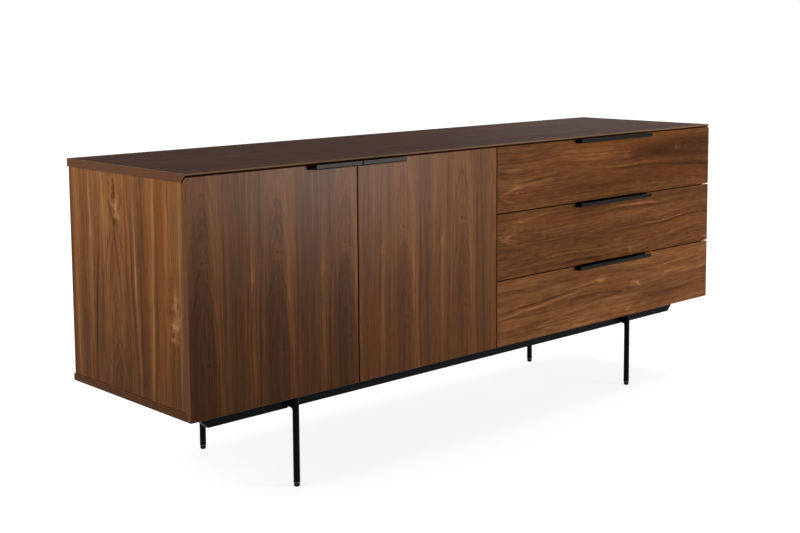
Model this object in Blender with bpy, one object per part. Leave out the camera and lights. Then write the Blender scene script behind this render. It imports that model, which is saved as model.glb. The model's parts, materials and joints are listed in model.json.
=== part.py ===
"""A long, low sideboard in walnut veneer on a black steel base.

Two doors on concealed hinges close the left half, and three drawers fill the right half.
Units are metres and +Z is up. The origin is on the floor, under the middle of the outer box.
+X runs along the length towards the drawers, and the fronts face -Y.
"""

import math

import bmesh
import bpy
from mathutils import Vector

# Overall sizes
LENGTH = 1.800
DEPTH = 0.467                 # from the faces of the fronts to the rear edge
BODY_HEIGHT = 0.504
FLOOR_CLEARANCE = 0.218
SPLIT_X = -0.001              # middle of the divider, between the door bay and the drawer bay

# Gaps and edges
SEAT = 0.0003                 # between a piece and what carries it
REVEAL = 0.003                # between neighbouring fronts
FRONT_GAP = 0.002             # between the fronts and the carcass behind them
EASE = 0.0006                 # softened edges of the boards
CUT_MARGIN = 0.002            # how far a cutter runs past what it cuts

# Boards of the carcass
TOP_THICKNESS = 0.018
TOP_LIP = 0.003               # upright edge left above the undercut
MITRE_GAP = 0.0045            # upright gap between the undercut and the fronts below it
BOTTOM_THICKNESS = 0.016
SIDE_THICKNESS = 0.018
SIDE_INSET = 0.0025           # top and bottom stand proud of the sides
REAR_OVERHANG = 0.0025
DIVIDER_THICKNESS = 0.018
FRONT_THICKNESS = 0.016
BACK_THICKNESS = 0.006
BACK_INSET = 0.012
GROOVE_DEPTH = 0.006

# Shelf and its pins
SHELF_THICKNESS = 0.018
SHELF_RISE = 0.226            # from the bay's floor to the shelf's underside
SHELF_SETBACK = 0.030
SHELF_END_GAP = 0.0015
PIN_DIAMETER = 0.005
PIN_COLLAR_DIAMETER = 0.007
PIN_COLLAR = 0.001
PIN_DEPTH = 0.009
PIN_REACH = 0.010
PIN_CHAMFER = 0.0006
PIN_SETBACK = 0.070
HOLE_PITCH = 0.032
HOLES_EACH_WAY = 1            # spare holes above and below the one in use

# Folded edge pulls
PULL_REACH = 0.020            # lip in front of the face
PULL_LIP = 0.0105
PULL_RISE = 0.0015            # lip above the edge of the front
PULL_SHEET = 0.002
PULL_BEND = 0.003
PULL_FLANGE = 0.009           # length of flange that lies in the notch
DOOR_PULL_LENGTH = 0.129
DRAWER_PULL_LENGTH = 0.301
DOOR_NOTCH_SPARE = 0.011      # notch past the pull's outer end
DRAWER_NOTCH_SPARE = 0.002

# Concealed hinges
PIVOT_INSET = 0.0016          # of the turning axis, from the edge and from the face of the door
HINGE_FROM_END = 0.095
CUP_DIAMETER = 0.035
CUP_TAB = 0.004               # wood between the door's edge and the cup
CUP_DEPTH = 0.0115
CUP_WALL = 0.001
CUP_FLANGE = 0.0008
CUP_WING_WIDTH = 0.018
CUP_WING_SPAN = 0.060
ARM_WIDTH = 0.016
ARM_HEIGHT = 0.011
ARM_SETBACK = 0.062           # of the arm's rear end, behind the carcass edge
ARM_NECK = 0.014
ARM_MOUTH = 0.004
ARM_HEEL = 0.008
ARM_TIP_WIDTH = 0.0075
ARM_TIP_CORNER = 0.0014
ARM_DIP = 0.009               # how far the tip reaches into the cup
ARM_SWING_CLEARANCE = 0.0012
PLATE_THICKNESS = 0.0025
PLATE_LAP = 0.0006
PLATE_START = 0.012
PLATE_LENGTH = 0.044
PLATE_WIDTH = 0.018
PLATE_WING_SPAN = 0.048
PLATE_WING_WIDTH = 0.014

# Drawers and runners
DRAWER_NAMES = ("upper", "middle", "lower")
BOX_REAR_GAP = 0.0327         # from a drawer box to the back panel
BOX_HEIGHT = 0.112
BOX_LIFT = 0.026              # box above the lower edge of its front
BOX_WALL = 0.012
BOX_BOTTOM = 0.006
BOX_BOTTOM_LIFT = 0.010
BOX_GROOVE = 0.006
RUNNER_WIDTH = 0.0127
RUNNER_HEIGHT = 0.035
RUNNER_SETBACK = 0.003
RUNNER_REAR_GAP = 0.028
RUNNER_SHEET = 0.0012
RUNNER_FLANGE = 0.0085
RUNNER_LIP = 0.0035
RUNNER_PLAY = 0.0005

# Steel base
RAIL_INSET = 0.046            # of the rail's ends, from the ends of the body
LEG_FROM_RAIL_END = 0.262
LEG_INSET = 0.0525            # of the rod's axis, from the faces of the fronts and from the rear
ROD_DIAMETER = 0.015
BEND_RADIUS = 0.018
RAIL_HEIGHT = 0.043
RAIL_DEPTH = 0.020
GLIDE_DIAMETER = 0.0135
GLIDE_HEIGHT = 0.009
GLIDE_CHAMFER = 0.0015
RING_DIAMETER = 0.0154
RING_HEIGHT = 0.0012
STUD_DIAMETER = 0.006
STUD_LENGTH = 0.014

# How finely round forms are divided
ROD_SIDES = 20
BEND_STEPS = 8
CUP_SIDES = 28
GLIDE_SIDES = 20
PIN_SIDES = 12
FOLD_STEPS = 4
SLOT_STEPS = 10

# Planes that several pieces share
END_X = LENGTH / 2
FRONT_Y = -(DEPTH + PULL_REACH) / 2 + PULL_REACH
REAR_Y = FRONT_Y + DEPTH
FRONT_BACK_Y = FRONT_Y + FRONT_THICKNESS
CARCASS_Y = FRONT_BACK_Y + FRONT_GAP
BACK_Y = REAR_Y - BACK_INSET - BACK_THICKNESS
BOTTOM_Z = FLOOR_CLEARANCE
TOP_Z = BOTTOM_Z + BODY_HEIGHT
TOP_UNDER_Z = TOP_Z - TOP_THICKNESS
BAY_Z = BOTTOM_Z + BOTTOM_THICKNESS
FRONT_TOP_Z = TOP_Z - TOP_LIP - MITRE_GAP
SIDE_OUT_X = END_X - SIDE_INSET
SIDE_IN_X = SIDE_OUT_X - SIDE_THICKNESS
DIVIDER_LEFT_X = SPLIT_X - DIVIDER_THICKNESS / 2
DIVIDER_RIGHT_X = SPLIT_X + DIVIDER_THICKNESS / 2
SHELF_Z = BAY_Z + SHELF_RISE
PIN_Z = SHELF_Z - SEAT - PIN_DIAMETER / 2
PIN_ROWS_Y = {"front": CARCASS_Y + PIN_SETBACK, "rear": BACK_Y - PIN_SETBACK}
NOTCH_DEPTH = PULL_LIP - PULL_RISE + SEAT
RAIL_END_X = END_X - RAIL_INSET
LEG_X = RAIL_END_X - LEG_FROM_RAIL_END
RAIL_SETBACK = LEG_INSET + BEND_RADIUS
RAIL_TOP_Z = BOTTOM_Z - SEAT
RAIL_BOTTOM_Z = RAIL_TOP_Z - RAIL_HEIGHT
RUN_Z = RAIL_BOTTOM_Z + ROD_DIAMETER / 2
ROD_END_Z = GLIDE_HEIGHT + RING_HEIGHT + SEAT
LEG_FRONT_Y = FRONT_Y + LEG_INSET
LEG_REAR_Y = REAR_Y - LEG_INSET


def material(name, colour, roughness, metallic=0.0):
    mat = bpy.data.materials.new(name)
    mat.use_nodes = True
    shader = mat.node_tree.nodes["Principled BSDF"]
    shader.inputs["Base Color"].default_value = (*colour, 1.0)
    shader.inputs["Roughness"].default_value = roughness
    shader.inputs["Metallic"].default_value = metallic
    return mat


def body(name, place=(0.0, 0.0, 0.0)):
    """An empty that carries the pieces which move together, on their axis of motion."""
    empty = bpy.data.objects.new(name, None)
    empty.location = place
    bpy.context.collection.objects.link(empty)
    return empty


def place(bm, name, carrier, mat=None, ease=0.0, smooth=False):
    """Turn world-space geometry into an object under its carrier."""
    bmesh.ops.recalc_face_normals(bm, faces=bm.faces)
    bmesh.ops.translate(bm, verts=bm.verts, vec=-carrier.location)
    mesh = bpy.data.meshes.new(name)
    bm.to_mesh(mesh)
    bm.free()
    obj = bpy.data.objects.new(name, mesh)
    bpy.context.collection.objects.link(obj)
    obj.parent = carrier
    if mat:
        mesh.materials.append(mat)
    if smooth:
        mesh.shade_smooth()
        mesh.set_sharp_from_angle(angle=math.radians(40))
    if ease:
        bevel = obj.modifiers.new("eased edges", "BEVEL")
        bevel.width = ease
        bevel.segments = 1
        bevel.limit_method = "ANGLE"
        bevel.angle_limit = math.radians(30)
    return obj


def tool(bm, name, carrier):
    """A shape that only cuts or joins and isn't a piece itself."""
    obj = place(bm, name, carrier)
    obj.hide_render = True
    obj.display_type = "WIRE"
    return obj


def combine(target, other, operation):
    boolean = target.modifiers.new(operation.lower() + " " + other.name, "BOOLEAN")
    boolean.operation = operation
    boolean.object = other
    boolean.solver = "EXACT"


def cut(target, bm, name):
    combine(target, tool(bm, name, target.parent), "DIFFERENCE")


def join(target, bm, name):
    combine(target, tool(bm, name, target.parent), "UNION")


def prism(outline, axis, start, end, bm=None):
    """A flat outline pushed along one axis; its points give the other two axes in X, Y, Z order."""
    bm = bm or bmesh.new()
    index = "XYZ".index(axis)

    def ring(level):
        corners = []
        for point in outline:
            corner = list(point)
            corner.insert(index, level)
            corners.append(bm.verts.new(corner))
        return corners

    first, last = ring(start), ring(end)
    bm.faces.new(first)
    bm.faces.new(last)
    for i in range(len(outline)):
        j = (i + 1) % len(outline)
        bm.faces.new((first[i], first[j], last[j], last[i]))
    return bm


def block(x, y, z, bm=None):
    """A box from three pairs of limits."""
    return prism(((x[0], y[0]), (x[1], y[0]), (x[1], y[1]), (x[0], y[1])), "Z", z[0], z[1], bm)


def arc(centre, radius, start, end, steps):
    """Points on an arc, with both ends, angles in degrees."""
    angles = [math.radians(start + (end - start) * i / steps) for i in range(steps + 1)]
    return [(centre[0] + radius * math.cos(a), centre[1] + radius * math.sin(a)) for a in angles]


def skin(outline_rings, bm):
    """Join rings of points into a closed skin; a ring of one point closes it as a tip."""
    rings = [[bm.verts.new(point) for point in ring] for ring in outline_rings]
    for lower, upper in zip(rings, rings[1:]):
        count = max(len(lower), len(upper))
        for i in range(count):
            j = (i + 1) % count
            corners = [lower[i % len(lower)], lower[j % len(lower)]]
            corners += [upper[j % len(upper)], upper[i % len(upper)]]
            bm.faces.new(list(dict.fromkeys(corners)))
    for ring in (rings[0], rings[-1]):
        if len(ring) > 1:
            bm.faces.new(ring)
    return bm


def turned(profile, centre, axis, sides, bm=None):
    """Revolve (radius, distance) pairs round an axis through the centre."""
    index = "XYZ".index(axis)
    across = [i for i in range(3) if i != index]
    rings = []
    for radius, along in profile:
        ring = []
        for i in range(sides if radius > 0 else 1):
            angle = 2 * math.pi * i / sides
            point = Vector(centre)
            point[index] += along
            point[across[0]] += radius * math.cos(angle)
            point[across[1]] += radius * math.sin(angle)
            ring.append(point)
        rings.append(ring)
    return skin(rings, bm or bmesh.new())


def cylinder(centre, axis, radius, start, end, sides, bm=None):
    return turned(((radius, start), (radius, end)), centre, axis, sides, bm)


def front_outline(low, high, mitred):
    """Section of a door or drawer front, with its top cut parallel to the undercut where mitred."""
    drop = FRONT_THICKNESS if mitred else 0.0
    return ((FRONT_Y, low), (FRONT_BACK_Y, low), (FRONT_BACK_Y, high - drop), (FRONT_Y, high))


def pull_notch(front, x, high):
    """Step cut in the upper edge of a front for its pull."""
    depth = (FRONT_Y - CUT_MARGIN, FRONT_BACK_Y + CUT_MARGIN)
    cut(front, block(x, depth, (high - NOTCH_DEPTH, high + CUT_MARGIN)), front.name + "_notch")


def edge_pull(name, carrier, x, high, mat):
    """Folded sheet whose flange lies in the notch and whose lip stands in front of the face."""
    lip_y = FRONT_Y - PULL_REACH
    rear_y = FRONT_Y + PULL_FLANGE
    low = high - NOTCH_DEPTH + SEAT
    fold = (lip_y + PULL_BEND, low + PULL_BEND)
    outline = [(rear_y, low)]
    outline += arc(fold, PULL_BEND, 270, 180, FOLD_STEPS)
    outline += [(lip_y, low + PULL_LIP), (lip_y + PULL_SHEET, low + PULL_LIP)]
    outline += arc(fold, PULL_BEND - PULL_SHEET, 180, 270, FOLD_STEPS)
    outline += [(rear_y, low + PULL_SHEET)]
    return place(prism(outline, "X", x[0], x[1]), name, carrier, mat)


def build_carcass(cabinet, walnut, inner_walnut):
    """Boards that don't move: top, bottom, sides, divider and back."""
    undercut = TOP_THICKNESS - TOP_LIP
    top_outline = (
        (REAR_Y, TOP_UNDER_Z), (REAR_Y, TOP_Z), (FRONT_Y, TOP_Z),
        (FRONT_Y, TOP_Z - TOP_LIP), (FRONT_Y + undercut, TOP_UNDER_Z),
    )
    top = place(prism(top_outline, "X", -END_X, END_X), "top_panel", cabinet, walnut, EASE)
    floor = block((-END_X, END_X), (CARCASS_Y, REAR_Y), (BOTTOM_Z, BAY_Z))
    bottom = place(floor, "bottom_panel", cabinet, walnut, EASE)
    groove_y = (BACK_Y - SEAT, BACK_Y + BACK_THICKNESS + SEAT)
    groove_x = (-SIDE_IN_X - GROOVE_DEPTH, SIDE_IN_X + GROOVE_DEPTH)
    cut(top, block(groove_x, groove_y, (TOP_UNDER_Z - CUT_MARGIN, TOP_UNDER_Z + GROOVE_DEPTH)), "top_groove")
    cut(bottom, block(groove_x, groove_y, (BAY_Z - GROOVE_DEPTH, BAY_Z + CUT_MARGIN)), "bottom_groove")

    side_y = (CARCASS_Y, REAR_Y - REAR_OVERHANG)
    side_z = (BAY_Z + SEAT, TOP_UNDER_Z - SEAT)
    sides = {}
    for name, hand in (("left", -1), ("right", 1)):
        outline = [
            (SIDE_OUT_X, side_y[0]), (SIDE_IN_X, side_y[0]), (SIDE_IN_X, groove_y[0]),
            (SIDE_IN_X + GROOVE_DEPTH, groove_y[0]), (SIDE_IN_X + GROOVE_DEPTH, groove_y[1]),
            (SIDE_IN_X, groove_y[1]), (SIDE_IN_X, side_y[1]), (SIDE_OUT_X, side_y[1]),
        ]
        outline = [(hand * x, y) for x, y in outline]
        sides[name] = place(prism(outline, "Z", *side_z), name + "_side_panel", cabinet, walnut, EASE)

    divider_x = (DIVIDER_LEFT_X, DIVIDER_RIGHT_X)
    divider = place(
        block(divider_x, (CARCASS_Y, BACK_Y - SEAT), side_z), "centre_divider", cabinet, inner_walnut, EASE
    )
    seated = GROOVE_DEPTH - SEAT
    place(
        block((-SIDE_IN_X - seated, SIDE_IN_X + seated), (BACK_Y, BACK_Y + BACK_THICKNESS),
              (BAY_Z - seated, TOP_UNDER_Z + seated)),
        "back_panel", cabinet, inner_walnut,
    )
    return sides["left"], divider


def build_shelf(cabinet, left_side, divider, inner_walnut, zinc):
    """Loose shelf in the door bay, on four pins that stand in rows of holes."""
    shelf_x = (-SIDE_IN_X + SHELF_END_GAP, DIVIDER_LEFT_X - SHELF_END_GAP)
    shelf_y = (CARCASS_Y + SHELF_SETBACK, BACK_Y - SEAT)
    board = block(shelf_x, shelf_y, (SHELF_Z, SHELF_Z + SHELF_THICKNESS))
    place(board, "shelf", cabinet, inner_walnut, EASE)
    radius = PIN_DIAMETER / 2
    collar = PIN_COLLAR_DIAMETER / 2
    walls = (("left", left_side, -SIDE_IN_X, 1), ("right", divider, DIVIDER_LEFT_X, -1))
    for side, wall, wall_x, inward in walls:
        holes = bmesh.new()
        for row, y in PIN_ROWS_Y.items():
            for step in range(-HOLES_EACH_WAY, HOLES_EACH_WAY + 1):
                mouth = (wall_x, y, PIN_Z + step * HOLE_PITCH)
                ends = sorted((inward * CUT_MARGIN, -inward * (PIN_DEPTH + SEAT)))
                cylinder(mouth, "X", radius + SEAT, *ends, PIN_SIDES, holes)
            profile = (
                (0, -PIN_DEPTH), (radius - PIN_CHAMFER, -PIN_DEPTH), (radius, PIN_CHAMFER - PIN_DEPTH),
                (radius, SEAT), (collar, SEAT), (collar, SEAT + PIN_COLLAR), (radius, SEAT + PIN_COLLAR),
                (radius, PIN_REACH - PIN_CHAMFER), (radius - PIN_CHAMFER, PIN_REACH), (0, PIN_REACH),
            )
            profile = [(r, inward * along) for r, along in profile]
            pin = turned(profile, (wall_x, y, PIN_Z), "X", PIN_SIDES)
            place(pin, f"shelf_pin_{side}_{row}", cabinet, zinc, smooth=True)
        cut(wall, holes, wall.name + "_shelf_holes")


def hinge_cup(name, door, edge_x, inward, z, zinc):
    """Cup sunk in the back of the door, with a flange that has a wing above and below."""
    centre_x = edge_x + inward * (CUP_TAB + CUP_DIAMETER / 2)
    radius = CUP_DIAMETER / 2 - SEAT
    floor_y = FRONT_BACK_Y - CUP_DEPTH + SEAT
    flange_y = (FRONT_BACK_Y + SEAT, FRONT_BACK_Y + SEAT + CUP_FLANGE)
    outside = cylinder((centre_x, 0, z), "Y", radius, floor_y, flange_y[1], CUP_SIDES)
    cup = place(outside, name, door, zinc, smooth=True)
    end = CUP_WING_WIDTH / 2
    straight = CUP_WING_SPAN / 2 - end
    wings = arc((centre_x, z + straight), end, 0, 180, FOLD_STEPS * 2)
    wings += arc((centre_x, z - straight), end, 180, 360, FOLD_STEPS * 2)
    join(cup, prism(wings, "Y", *flange_y), name + "_wings")
    bowl = cylinder(
        (centre_x, 0, z), "Y", radius - CUP_WALL, floor_y + CUP_WALL, flange_y[1] + CUT_MARGIN, CUP_SIDES
    )
    cut(cup, bowl, name + "_bowl")
    bore = (radius + SEAT, FRONT_BACK_Y - CUP_DEPTH, FRONT_BACK_Y + CUT_MARGIN)
    return (centre_x, 0, z), bore


def hinge_arm(name, cabinet, edge_x, inward, wall_x, z, zinc):
    """Arm that dips into the cup, fixed to the carcass wall by a winged plate.

    Its outline is (distance from the door's hinged edge, distance behind the face). The tip stands
    just outside the circle that the back corner of the door turns on.
    """
    wall = abs(wall_x - edge_x) + SEAT
    corner_sweep = math.hypot(PIVOT_INSET, FRONT_THICKNESS - PIVOT_INSET)
    near = PIVOT_INSET + corner_sweep + ARM_SWING_CLEARANCE
    far = near + ARM_TIP_WIDTH
    throat = max(near, wall)
    tip_y = FRONT_THICKNESS - ARM_DIP
    carcass_y = FRONT_THICKNESS + FRONT_GAP
    low = wall + PLATE_THICKNESS - PLATE_LAP
    high = low + ARM_HEIGHT
    rear_y = carcass_y + ARM_SETBACK
    outline = [
        (high, rear_y), (high, carcass_y + ARM_NECK), (far, carcass_y + ARM_MOUTH),
        (far, tip_y + ARM_TIP_CORNER), (far - ARM_TIP_CORNER, tip_y),
        (near + ARM_TIP_CORNER, tip_y), (near, tip_y + ARM_TIP_CORNER),
        (near, FRONT_THICKNESS - SEAT), (throat, carcass_y - SEAT),
        (min(throat, low), carcass_y + ARM_HEEL), (low, rear_y),
    ]
    outline = [(edge_x + inward * x, FRONT_Y + y) for x, y in outline]
    arm = place(prism(outline, "Z", z - ARM_WIDTH / 2, z + ARM_WIDTH / 2), name, cabinet, zinc)
    start = FRONT_Y + carcass_y + PLATE_START
    end = start + PLATE_LENGTH
    middle = (start + end) / 2
    half, wing, reach = PLATE_WIDTH / 2, PLATE_WING_WIDTH / 2, PLATE_WING_SPAN / 2
    cross = (
        (start, z - half), (middle - wing, z - half), (middle - wing, z - reach), (middle + wing, z - reach),
        (middle + wing, z - half), (end, z - half), (end, z + half), (middle + wing, z + half),
        (middle + wing, z + reach), (middle - wing, z + reach), (middle - wing, z + half), (start, z + half),
    )
    plate_x = sorted(edge_x + inward * x for x in (wall, wall + PLATE_THICKNESS))
    join(arm, prism(cross, "X", *plate_x), name + "_plate")


def build_door(name, cabinet, edge_x, free_x, wall_x, walnut, steel, zinc):
    """A door that turns on an upright axis just inside its hinged edge."""
    inward = 1 if free_x > edge_x else -1
    door = body(name + "_door_axis", (edge_x + inward * PIVOT_INSET, FRONT_Y + PIVOT_INSET, BOTTOM_Z))
    panel = place(
        prism(front_outline(BOTTOM_Z, FRONT_TOP_Z, True), "X", *sorted((edge_x, free_x))),
        name + "_door_panel", door, walnut, EASE,
    )
    notch_start = free_x - inward * (DOOR_PULL_LENGTH + DOOR_NOTCH_SPARE)
    pull_notch(panel, sorted((notch_start, free_x + inward * CUT_MARGIN)), FRONT_TOP_Z)
    pull_start = free_x - inward * DOOR_PULL_LENGTH
    edge_pull(name + "_door_pull", door, sorted((pull_start, free_x)), FRONT_TOP_Z, steel)
    bores = bmesh.new()
    heights = {"lower": BOTTOM_Z + HINGE_FROM_END, "upper": FRONT_TOP_Z - FRONT_THICKNESS - HINGE_FROM_END}
    for level, z in heights.items():
        hinge = f"{name}_door_{level}_hinge"
        centre, bore = hinge_cup(hinge + "_cup", door, edge_x, inward, z, zinc)
        cylinder(centre, "Y", *bore, CUP_SIDES, bores)
        hinge_arm(hinge + "_arm", cabinet, edge_x, inward, wall_x, z, zinc)
    cut(panel, bores, name + "_cup_bores")


def runner_outlines():
    """Sections of the two runner members, as (distance from the wall, height) pairs."""
    half, sheet = RUNNER_HEIGHT / 2, RUNNER_SHEET
    web, mouth = SEAT, RUNNER_FLANGE
    lip = half - RUNNER_LIP
    fixed = [
        (web, -half), (mouth, -half), (mouth, -lip), (mouth - sheet, -lip), (mouth - sheet, sheet - half),
        (web + sheet, sheet - half), (web + sheet, half - sheet), (mouth - sheet, half - sheet),
        (mouth - sheet, lip), (mouth, lip), (mouth, half), (web, half),
    ]
    outer = RUNNER_WIDTH - SEAT
    inner = web + sheet + RUNNER_PLAY
    neck = lip - RUNNER_PLAY
    flare = half - sheet - RUNNER_PLAY
    moving = [
        (outer, -neck), (outer, neck), (inner + sheet, neck), (inner + sheet, flare), (inner, flare),
        (inner, neck - sheet), (outer - sheet, neck - sheet), (outer - sheet, sheet - neck),
        (inner, sheet - neck), (inner, -flare), (inner + sheet, -flare), (inner + sheet, -neck),
    ]
    return fixed, moving


def build_drawer(name, cabinet, low, high, mitred, walnut, inner_walnut, steel, zinc):
    """A drawer on a pair of side-mounted runners, with the fixed runner members."""
    front_x = (SPLIT_X + REVEAL / 2, END_X)
    middle_x = sum(front_x) / 2
    drawer = body(name + "_drawer_slide", (middle_x, FRONT_Y, low))
    front = place(
        prism(front_outline(low, high, mitred), "X", *front_x), name + "_drawer_front", drawer, walnut, EASE
    )
    half = DRAWER_PULL_LENGTH / 2
    spare = half + DRAWER_NOTCH_SPARE
    pull_notch(front, (middle_x - spare, middle_x + spare), high)
    edge_pull(name + "_drawer_pull", drawer, (middle_x - half, middle_x + half), high, steel)

    bay_x = (DIVIDER_RIGHT_X, SIDE_IN_X)
    outer_x = (bay_x[0] + RUNNER_WIDTH, bay_x[1] - RUNNER_WIDTH)
    outer_y = (FRONT_BACK_Y + SEAT, BACK_Y - BOX_REAR_GAP)
    box_z = (low + BOX_LIFT, low + BOX_LIFT + BOX_HEIGHT)
    inner_x = (outer_x[0] + BOX_WALL, outer_x[1] - BOX_WALL)
    inner_y = (outer_y[0] + BOX_WALL, outer_y[1] - BOX_WALL)
    bottom_z = (box_z[0] + BOX_BOTTOM_LIFT, box_z[0] + BOX_BOTTOM_LIFT + BOX_BOTTOM)
    box = place(block(outer_x, outer_y, box_z), name + "_drawer_box", drawer, inner_walnut, EASE)
    cut(box, block(inner_x, inner_y, (box_z[0] - CUT_MARGIN, box_z[1] + CUT_MARGIN)), box.name + "_inside")

    def spread(limits, amount):
        return (limits[0] - amount, limits[1] + amount)

    cut(box, block(spread(inner_x, BOX_GROOVE), spread(inner_y, BOX_GROOVE), spread(bottom_z, SEAT)),
        box.name + "_groove")
    seated = BOX_GROOVE - SEAT
    place(block(spread(inner_x, seated), spread(inner_y, seated), bottom_z), name + "_drawer_bottom",
          drawer, inner_walnut)

    runner_z = sum(box_z) / 2
    runner_y = (CARCASS_Y + RUNNER_SETBACK, BACK_Y - RUNNER_REAR_GAP)
    fixed, moving = runner_outlines()
    members = (("cabinet_runner", fixed, cabinet), ("drawer_runner", moving, drawer))
    for side, wall_x, inward in (("left", bay_x[0], 1), ("right", bay_x[1], -1)):
        for label, outline, carrier in members:
            section = [(wall_x + inward * u, runner_z + v) for u, v in outline]
            place(prism(section, "Y", *runner_y), f"{name}_{side}_{label}", carrier, zinc)


def build_drawers(cabinet, walnut, inner_walnut, steel, zinc):
    """Drawer fronts of equal height share what the doors span."""
    count = len(DRAWER_NAMES)
    height = (FRONT_TOP_Z - BOTTOM_Z - (count - 1) * REVEAL) / count
    for i, name in enumerate(DRAWER_NAMES):
        high = FRONT_TOP_Z - i * (height + REVEAL)
        build_drawer(name, cabinet, high - height, high, i == 0, walnut, inner_walnut, steel, zinc)


def rod_loop(x):
    """Round rod: up one leg, back under the cabinet and down the other leg."""
    bends = (LEG_FRONT_Y + BEND_RADIUS, LEG_REAR_Y - BEND_RADIUS)
    centre_z = RUN_Z - BEND_RADIUS
    path = [(LEG_FRONT_Y, ROD_END_Z, 90)]
    for centre_y, start, end in ((bends[0], 180, 90), (bends[1], 90, 0)):
        points = arc((centre_y, centre_z), BEND_RADIUS, start, end, BEND_STEPS)
        for i, (y, z) in enumerate(points):
            path.append((y, z, start - 90 + (end - start) * i / BEND_STEPS))
    path.append((LEG_REAR_Y, ROD_END_Z, -90))
    radius = ROD_DIAMETER / 2
    rings = []
    for y, z, heading in path:
        outward = math.radians(heading + 90)
        ring = []
        for i in range(ROD_SIDES):
            turn = 2 * math.pi * i / ROD_SIDES
            reach = radius * math.cos(turn)
            across = x + radius * math.sin(turn)
            ring.append((across, y + reach * math.cos(outward), z + reach * math.sin(outward)))
        rings.append(ring)
    return skin(rings, bmesh.new())


def build_base(cabinet, steel, plastic):
    """Two leg loops that pass through the bottom of two rails with ends cut at 45 degrees."""
    low_end = RAIL_END_X - RAIL_HEIGHT
    rail_outline = (
        (-RAIL_END_X, RAIL_TOP_Z), (RAIL_END_X, RAIL_TOP_Z), (low_end, RAIL_BOTTOM_Z), (-low_end, RAIL_BOTTOM_Z),
    )
    rails_y = {
        "front": (FRONT_Y + RAIL_SETBACK, FRONT_Y + RAIL_SETBACK + RAIL_DEPTH),
        "rear": (REAR_Y - RAIL_SETBACK - RAIL_DEPTH, REAR_Y - RAIL_SETBACK),
    }
    slot_radius = ROD_DIAMETER / 2 + SEAT
    for name, rail_y in rails_y.items():
        rail = place(prism(rail_outline, "Y", *rail_y), name + "_rail", cabinet, steel, EASE)
        slots = bmesh.new()
        for x in (-LEG_X, LEG_X):
            slot = arc((x, RUN_Z), slot_radius, 0, 180, SLOT_STEPS)
            below = RAIL_BOTTOM_Z - CUT_MARGIN
            slot += [(x - slot_radius, below), (x + slot_radius, below)]
            prism(slot, "Y", rail_y[0] - CUT_MARGIN, rail_y[1] + CUT_MARGIN, slots)
        cut(rail, slots, name + "_rail_slots")

    stud = STUD_DIAMETER / 2
    foot = GLIDE_DIAMETER / 2
    ring = RING_DIAMETER / 2
    top = GLIDE_HEIGHT + RING_HEIGHT
    glide_profile = (
        (0, 0), (foot - GLIDE_CHAMFER, 0), (foot, GLIDE_CHAMFER), (foot, GLIDE_HEIGHT), (ring, GLIDE_HEIGHT),
        (ring, top), (stud, top), (stud, top + STUD_LENGTH), (0, top + STUD_LENGTH),
    )
    for side, x in (("left", -LEG_X), ("right", LEG_X)):
        loop = place(rod_loop(x), side + "_leg_loop", cabinet, steel, smooth=True)
        bores = bmesh.new()
        for end, y in (("front", LEG_FRONT_Y), ("rear", LEG_REAR_Y)):
            limits = (ROD_END_Z - CUT_MARGIN, top + STUD_LENGTH + SEAT)
            cylinder((x, y, 0), "Z", stud + SEAT, *limits, GLIDE_SIDES, bores)
            glide = turned(glide_profile, (x, y, 0), "Z", GLIDE_SIDES)
            place(glide, f"{side}_{end}_glide", cabinet, plastic, smooth=True)
        cut(loop, bores, side + "_leg_bores")


def build():
    for obj in list(bpy.data.objects):
        bpy.data.objects.remove(obj, do_unlink=True)
    walnut = material("walnut_veneer", (0.17, 0.085, 0.045), 0.45)
    inner_walnut = material("walnut_inside", (0.14, 0.075, 0.042), 0.55)
    steel = material("black_powder_coated_steel", (0.012, 0.012, 0.013), 0.42, 0.3)
    zinc = material("bright_zinc", (0.55, 0.55, 0.56), 0.32, 1.0)
    plastic = material("black_plastic", (0.02, 0.02, 0.02), 0.5)

    cabinet = body("cabinet")
    left_side, divider = build_carcass(cabinet, walnut, inner_walnut)
    build_shelf(cabinet, left_side, divider, inner_walnut, zinc)
    door_limits = (-END_X, SPLIT_X - REVEAL / 2)
    meeting_x = sum(door_limits) / 2
    build_door("left", cabinet, door_limits[0], meeting_x - REVEAL / 2, -SIDE_IN_X, walnut, steel, zinc)
    build_door("right", cabinet, door_limits[1], meeting_x + REVEAL / 2, DIVIDER_LEFT_X, walnut, steel, zinc)
    build_drawers(cabinet, walnut, inner_walnut, steel, zinc)
    build_base(cabinet, steel, plastic)


build()
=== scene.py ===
"""Looks of the walnut sideboard: veneer, powder-coated steel, fittings, floor, lights and camera.

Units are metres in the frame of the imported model: +X towards the drawers, the fronts face -Y, +Z up.
"""

import functools
import json
import math

import bmesh
import bpy
from mathutils import Matrix, Vector


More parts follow.
